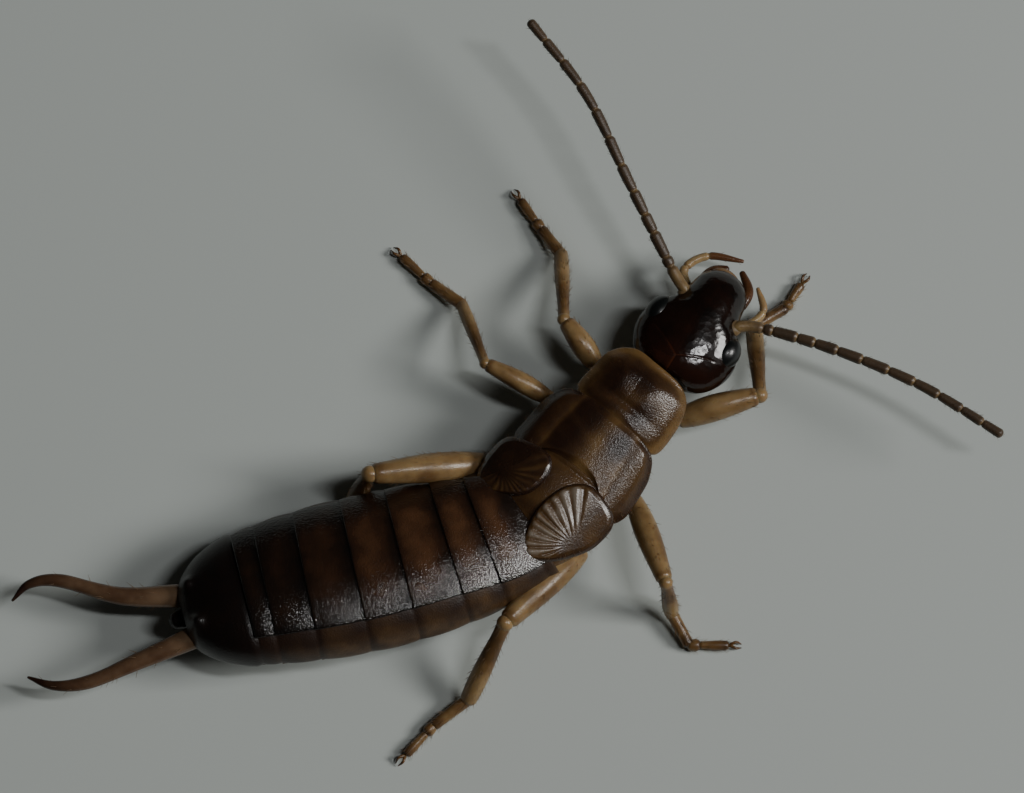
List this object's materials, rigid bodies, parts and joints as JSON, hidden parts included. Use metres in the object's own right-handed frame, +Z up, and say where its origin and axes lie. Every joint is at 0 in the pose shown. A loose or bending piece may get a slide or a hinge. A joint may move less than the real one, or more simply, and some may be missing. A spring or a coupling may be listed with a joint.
{
  "type": "european earwig nymph",
  "caption": "Life-size still model of a walking earwig in its last nymph stage, with plated abdomen, slender pincers, wing pads and beaded feelers",
  "frame": {"origin": "on the floor, under the middle of the bounding box", "axes": "+X forward along the mean line of the body, +Y to the animal's left, +Z up"},
  "size_m": [0.0162, 0.011, 0.0023],
  "materials": {
    "head_shell": "glossy, very dark red-brown horn",
    "eye_shell": "glossy black, finely faceted",
    "mouth_skin": "translucent red-brown",
    "neck_skin": "pale brown membrane",
    "feeler_skin": "dark grey-brown, finely haired",
    "leg_skin": "glossy translucent amber",
    "shield_shell": "satin amber-brown with darker blotches and clear rims",
    "wing_pad": "satin brown, thin",
    "abdomen_shell": "satin dark red-brown, finely pitted",
    "tail_shell": "satin black",
    "forceps_shell": "glossy red-brown, darker at the tips"
  },
  "bodies": {
    "root": {"abdomen": "abdomen_shell", "antenna_left_flagellum": "feeler_skin", "antenna_left_scape": "leg_skin", "antenna_right_flagellum": "feeler_skin", "antenna_right_scape": "leg_skin", "eye_left": "eye_shell", "eye_right": "eye_shell", "forceps_left": "forceps_shell", "forceps_right": "forceps_shell", "fore_wing_pad_left": "wing_pad", "fore_wing_pad_right": "wing_pad", "head": "head_shell", "hind_wing_pad_left": "wing_pad", "hind_wing_pad_right": "wing_pad", "last_segment": "tail_shell", "leg_front_left_coxa": "leg_skin", "leg_front_left_femur": "leg_skin", "leg_front_left_tarsus": "leg_skin", "leg_front_left_tibia": "leg_skin", "leg_front_right_coxa": "leg_skin", "leg_front_right_femur": "leg_skin", "leg_front_right_tarsus": "leg_skin", "leg_front_right_tibia": "leg_skin", "leg_hind_left_coxa": "leg_skin", "leg_hind_left_femur": "leg_skin", "leg_hind_left_tarsus": "leg_skin", "leg_hind_left_tibia": "leg_skin", "leg_hind_right_coxa": "leg_skin", "leg_hind_right_femur": "leg_skin", "leg_hind_right_tarsus": "leg_skin", "leg_hind_right_tibia": "leg_skin", "leg_middle_left_coxa": "leg_skin", "leg_middle_left_femur": "leg_skin", "leg_middle_left_tarsus": "leg_skin", "leg_middle_left_tibia": "leg_skin", "leg_middle_right_coxa": "leg_skin", "leg_middle_right_femur": "leg_skin", "leg_middle_right_tarsus": "leg_skin", "leg_middle_right_tibia": "leg_skin", "mesothorax": "shield_shell", "metathorax": "shield_shell", "mouthparts": "mouth_skin", "neck": "neck_skin", "palp_left": "mouth_skin", "palp_right": "mouth_skin", "prothorax": "shield_shell", "pygidium": "tail_shell"}
  },
  "joints": []
}
